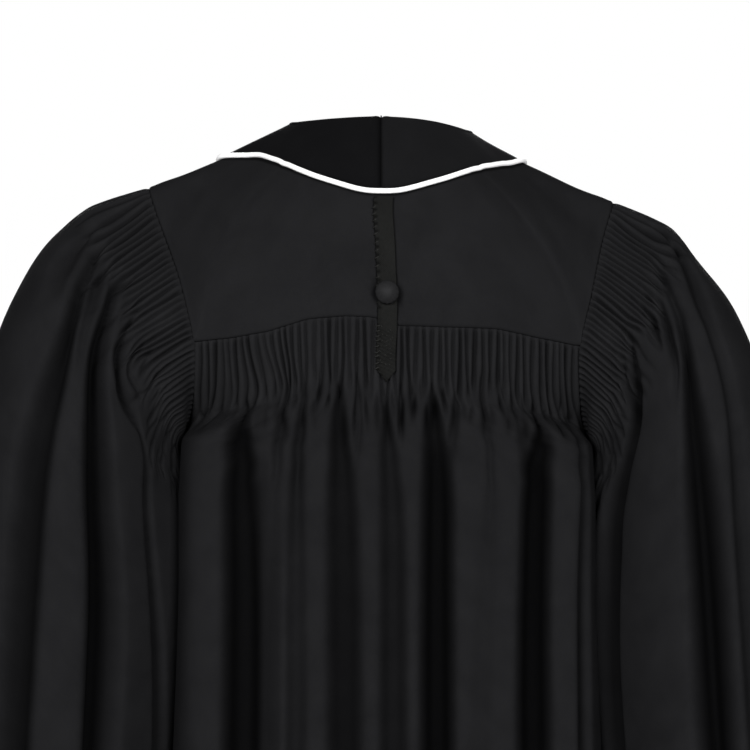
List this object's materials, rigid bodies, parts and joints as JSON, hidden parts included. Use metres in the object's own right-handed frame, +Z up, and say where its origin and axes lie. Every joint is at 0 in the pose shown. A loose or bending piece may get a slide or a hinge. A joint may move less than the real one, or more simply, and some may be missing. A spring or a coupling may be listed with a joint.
{
  "type": "clergy robe",
  "caption": "Black full-length clergy robe as worn: plain yoke, fluted back and sleeve heads, shawl collar edged in white, buttoned back strap.",
  "frame": {"origin": "middle of the neck, level with the tops of the shoulders, where the wearer carries the robe", "axes": "+Z up the wearer, +Y out of the wearer's back, +X to the wearer's left; the front opening faces -Y"},
  "size_m": [0.8901, 0.5481, 1.399],
  "materials": {
    "robe_cloth": "matte",
    "collar_cloth": "matte",
    "strap_braid": "matte",
    "piping_satin": "satin"
  },
  "bodies": {
    "root": {"yoke": "robe_cloth", "back_panel": "robe_cloth", "front_panel_left": "robe_cloth", "front_panel_right": "robe_cloth", "sleeve_left": "robe_cloth", "sleeve_right": "robe_cloth", "collar_left": "collar_cloth", "collar_right": "collar_cloth", "collar_piping": "piping_satin", "hood_strap": "strap_braid", "hood_button": "robe_cloth", "front_placket": "robe_cloth"}
  },
  "joints": []
}
